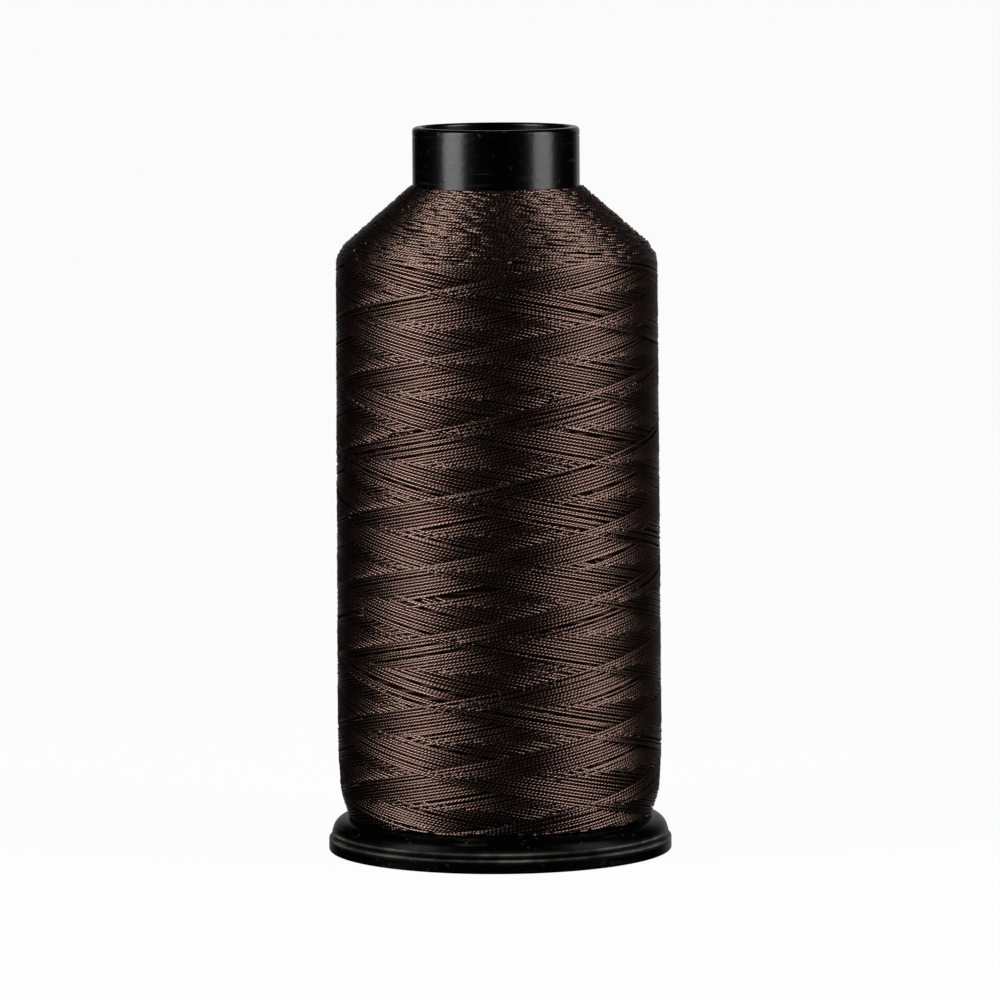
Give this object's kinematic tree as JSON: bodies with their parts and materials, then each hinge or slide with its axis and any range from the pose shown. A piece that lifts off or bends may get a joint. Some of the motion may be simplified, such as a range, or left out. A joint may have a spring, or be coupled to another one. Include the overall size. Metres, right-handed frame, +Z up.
{
  "type": "waxed thread spool",
  "caption": "Full spool of heavy waxed thread on a black plastic tube with a raised flange and a snap base that nips the thread's end.",
  "frame": {"origin": "centre of the face that the spool stands on", "axes": "+Z up along the spool's axis, out of the neck; the spool is round, so X and Y are any two directions across it"},
  "size_m": [0.076, 0.076, 0.16],
  "materials": {
    "tube_plastic": "semi-gloss moulded black, lightly rubbed",
    "base_plastic": "semi-gloss moulded black, scuffed at the rim",
    "waxed_thread": "dark brown twisted thread with a wax sheen"
  },
  "bodies": {
    "lock_base": {"lock_base": "base_plastic"},
    "spool": {"core_tube": "tube_plastic", "base_flange": "base_plastic", "thread_anchor_wraps": "waxed_thread", "thread_inner_winding": "waxed_thread", "thread_outer_winding": "waxed_thread"}
  },
  "joints": [
    {"name": "lock_base_snap", "type": "slide", "parent": "lock_base", "child": "spool", "axis": [0, 0, 1], "range_m": [0, 0.0016]}
  ]
}
